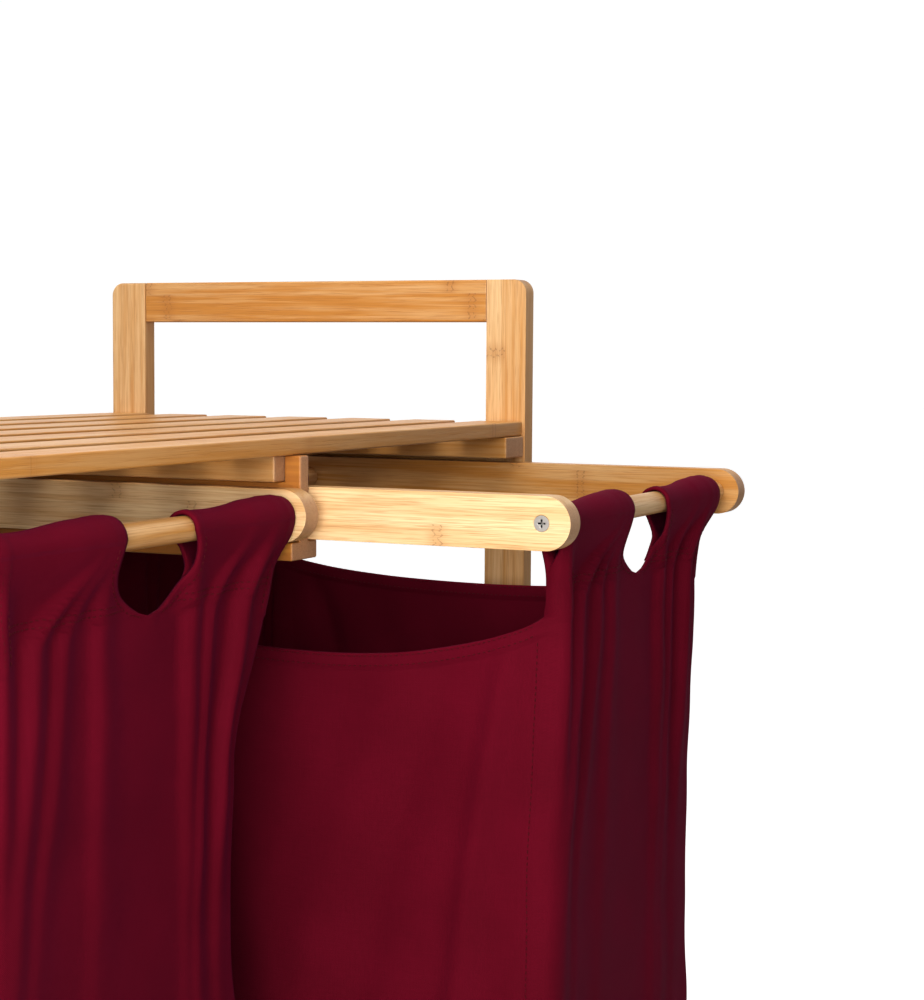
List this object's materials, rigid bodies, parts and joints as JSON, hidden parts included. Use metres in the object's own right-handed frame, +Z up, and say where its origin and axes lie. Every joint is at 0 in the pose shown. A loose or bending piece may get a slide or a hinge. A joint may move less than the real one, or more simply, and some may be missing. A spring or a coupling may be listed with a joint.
{
  "type": "laundry sorter on wheels",
  "caption": "Bamboo laundry cart on swivel casters with a slatted top shelf, side handles and fabric bags that hang in sliding drawer frames.",
  "frame": {"origin": "centre of the bottom of the standing cart as stored, with the right-hand drawer pulled out 155 mm", "axes": "+Z up, -Y towards the front where the drawers pull out, +X to the right-hand side"},
  "size_m": [0.7178, 0.539, 0.8],
  "materials": {
    "bamboo": "clear satin lacquer on laminated bamboo",
    "bag_cloth": "plain-woven wine-red polyester canvas",
    "screw_steel": "zinc-plated",
    "caster_steel": "bright zinc-plated pressed steel",
    "wheel_rubber": "grey-black moulded tread",
    "pedal_plastic": "moulded"
  },
  "bodies": {
    "root": {"left_front_post": "bamboo", "left_rear_post": "bamboo", "left_handle_rail": "bamboo", "left_low_rail": "bamboo", "left_drawer_runner": "bamboo", "right_front_post": "bamboo", "right_rear_post": "bamboo", "right_handle_rail": "bamboo", "right_low_rail": "bamboo", "right_drawer_runner": "bamboo", "shelf_slat_1": "bamboo", "shelf_slat_2": "bamboo", "shelf_slat_3": "bamboo", "shelf_slat_4": "bamboo", "shelf_slat_5": "bamboo", "shelf_slat_6": "bamboo", "shelf_slat_7": "bamboo", "left_shelf_cleat": "bamboo", "middle_shelf_cleat": "bamboo", "right_shelf_cleat": "bamboo", "centre_drawer_guide": "bamboo", "upper_rear_stretcher": "bamboo", "lower_front_stretcher": "bamboo", "lower_rear_stretcher": "bamboo", "left_front_caster_stem": "caster_steel", "left_rear_caster_stem": "caster_steel", "right_front_caster_stem": "caster_steel", "right_rear_caster_stem": "caster_steel"},
    "left_drawer": {"left_drawer_outer_rail": "bamboo", "left_drawer_inner_rail": "bamboo", "left_front_dowel": "bamboo", "left_rear_dowel": "bamboo", "left_front_outer_screw": "screw_steel", "left_front_inner_screw": "screw_steel", "left_rear_outer_screw": "screw_steel", "left_rear_inner_screw": "screw_steel", "left_laundry_bag": "bag_cloth"},
    "right_drawer": {"right_drawer_outer_rail": "bamboo", "right_drawer_inner_rail": "bamboo", "right_front_dowel": "bamboo", "right_rear_dowel": "bamboo", "right_front_outer_screw": "screw_steel", "right_front_inner_screw": "screw_steel", "right_rear_outer_screw": "screw_steel", "right_rear_inner_screw": "screw_steel", "right_laundry_bag": "bag_cloth"},
    "left_front_fork": {"left_front_caster_fork": "caster_steel", "left_front_caster_axle": "caster_steel"},
    "left_front_wheel": {"left_front_caster_wheel": "wheel_rubber"},
    "left_front_pedal": {"left_front_brake_pedal": "pedal_plastic"},
    "left_rear_fork": {"left_rear_caster_fork": "caster_steel", "left_rear_caster_axle": "caster_steel"},
    "left_rear_wheel": {"left_rear_caster_wheel": "wheel_rubber"},
    "right_front_fork": {"right_front_caster_fork": "caster_steel", "right_front_caster_axle": "caster_steel"},
    "right_front_wheel": {"right_front_caster_wheel": "wheel_rubber"},
    "right_front_pedal": {"right_front_brake_pedal": "pedal_plastic"},
    "right_rear_fork": {"right_rear_caster_fork": "caster_steel", "right_rear_caster_axle": "caster_steel"},
    "right_rear_wheel": {"right_rear_caster_wheel": "wheel_rubber"}
  },
  "joints": [
    {"name": "left_drawer_slide", "type": "slide", "parent": "root", "child": "left_drawer", "axis": [0, -1, 0], "range_m": [0, 0.24]},
    {"name": "right_drawer_slide", "type": "slide", "parent": "root", "child": "right_drawer", "axis": [0, -1, 0], "range_m": [-0.1553, 0.0847]},
    {"name": "left_front_swivel", "type": "hinge", "parent": "root", "child": "left_front_fork", "pos_m": [-0.343, -0.08255, 0.06], "axis": [0, 0, 1], "continuous": true},
    {"name": "left_front_roll", "type": "hinge", "parent": "left_front_fork", "child": "left_front_wheel", "pos_m": [-0.343, -0.10055, 0.025], "axis": [1, 0, 0], "continuous": true},
    {"name": "left_front_brake", "type": "hinge", "parent": "left_front_fork", "child": "left_front_pedal", "pos_m": [-0.343, -0.12055, 0.05], "axis": [-1, 0, 0], "range_deg": [0, 25]},
    {"name": "left_rear_swivel", "type": "hinge", "parent": "root", "child": "left_rear_fork", "pos_m": [-0.343, 0.25345, 0.06], "axis": [0, 0, 1], "continuous": true},
    {"name": "left_rear_roll", "type": "hinge", "parent": "left_rear_fork", "child": "left_rear_wheel", "pos_m": [-0.343, 0.23545, 0.025], "axis": [1, 0, 0], "continuous": true},
    {"name": "right_front_swivel", "type": "hinge", "parent": "root", "child": "right_front_fork", "pos_m": [0.343, -0.08255, 0.06], "axis": [0, 0, 1], "continuous": true},
    {"name": "right_front_roll", "type": "hinge", "parent": "right_front_fork", "child": "right_front_wheel", "pos_m": [0.343, -0.10055, 0.025], "axis": [1, 0, 0], "continuous": true},
    {"name": "right_front_brake", "type": "hinge", "parent": "right_front_fork", "child": "right_front_pedal", "pos_m": [0.343, -0.12055, 0.05], "axis": [-1, 0, 0], "range_deg": [0, 25]},
    {"name": "right_rear_swivel", "type": "hinge", "parent": "root", "child": "right_rear_fork", "pos_m": [0.343, 0.25345, 0.06], "axis": [0, 0, 1], "continuous": true},
    {"name": "right_rear_roll", "type": "hinge", "parent": "right_rear_fork", "child": "right_rear_wheel", "pos_m": [0.343, 0.23545, 0.025], "axis": [1, 0, 0], "continuous": true}
  ]
}
